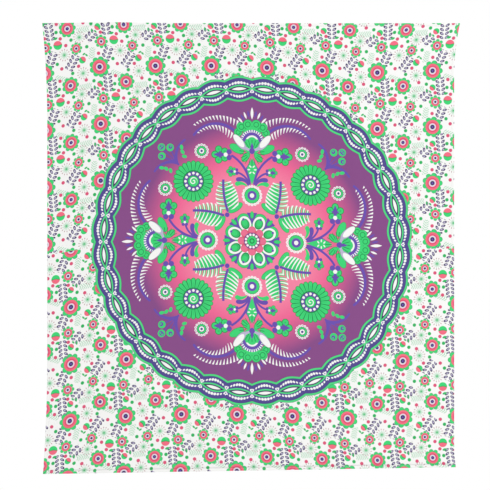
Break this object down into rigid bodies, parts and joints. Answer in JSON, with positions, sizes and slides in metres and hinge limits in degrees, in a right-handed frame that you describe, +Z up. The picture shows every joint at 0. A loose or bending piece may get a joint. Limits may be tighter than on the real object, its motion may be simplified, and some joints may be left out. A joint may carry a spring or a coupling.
{
  "type": "tapestry wall hanging",
  "caption": "Large square printed wall tapestry: one light sheet with double-folded lockstitched hems, hung flat by its top edge, folding at mid height.",
  "frame": {"origin": "centre of the top hem's back face, which lies on the wall", "axes": "+X to the viewer's right along the top hem, +Y into the wall, +Z up; the printed front faces -Y"},
  "size_m": [2.134, 0.0011, 2.286],
  "materials": {
    "printed_cloth": "matte printed plain weave",
    "hem_cloth": "matte printed plain weave, folded",
    "thread": "spun sewing thread"
  },
  "bodies": {
    "hanging_edge": {"hem_top": "hem_cloth", "needle_thread_top": "thread", "bobbin_thread_top": "thread"},
    "upper_half": {"cloth_upper": "printed_cloth", "hem_left_upper": "hem_cloth", "needle_thread_left_upper": "thread", "bobbin_thread_left_upper": "thread", "hem_right_upper": "hem_cloth", "needle_thread_right_upper": "thread", "bobbin_thread_right_upper": "thread"},
    "lower_half": {"cloth_lower": "printed_cloth", "hem_left_lower": "hem_cloth", "needle_thread_left_lower": "thread", "bobbin_thread_left_lower": "thread", "hem_right_lower": "hem_cloth", "needle_thread_right_lower": "thread", "bobbin_thread_right_lower": "thread", "hem_bottom": "hem_cloth", "needle_thread_bottom": "thread", "bobbin_thread_bottom": "thread"}
  },
  "joints": [
    {"name": "lift_from_wall", "type": "hinge", "parent": "hanging_edge", "child": "upper_half", "pos_m": [0, -0.0009, -0.0075], "axis": [-1, 0, 0], "range_deg": [0, 90]},
    {"name": "fold_at_mid_height", "type": "hinge", "parent": "upper_half", "child": "lower_half", "pos_m": [0, -0.0015, -1.1355], "axis": [-1, 0, 0], "range_deg": [0, 175]}
  ]
}
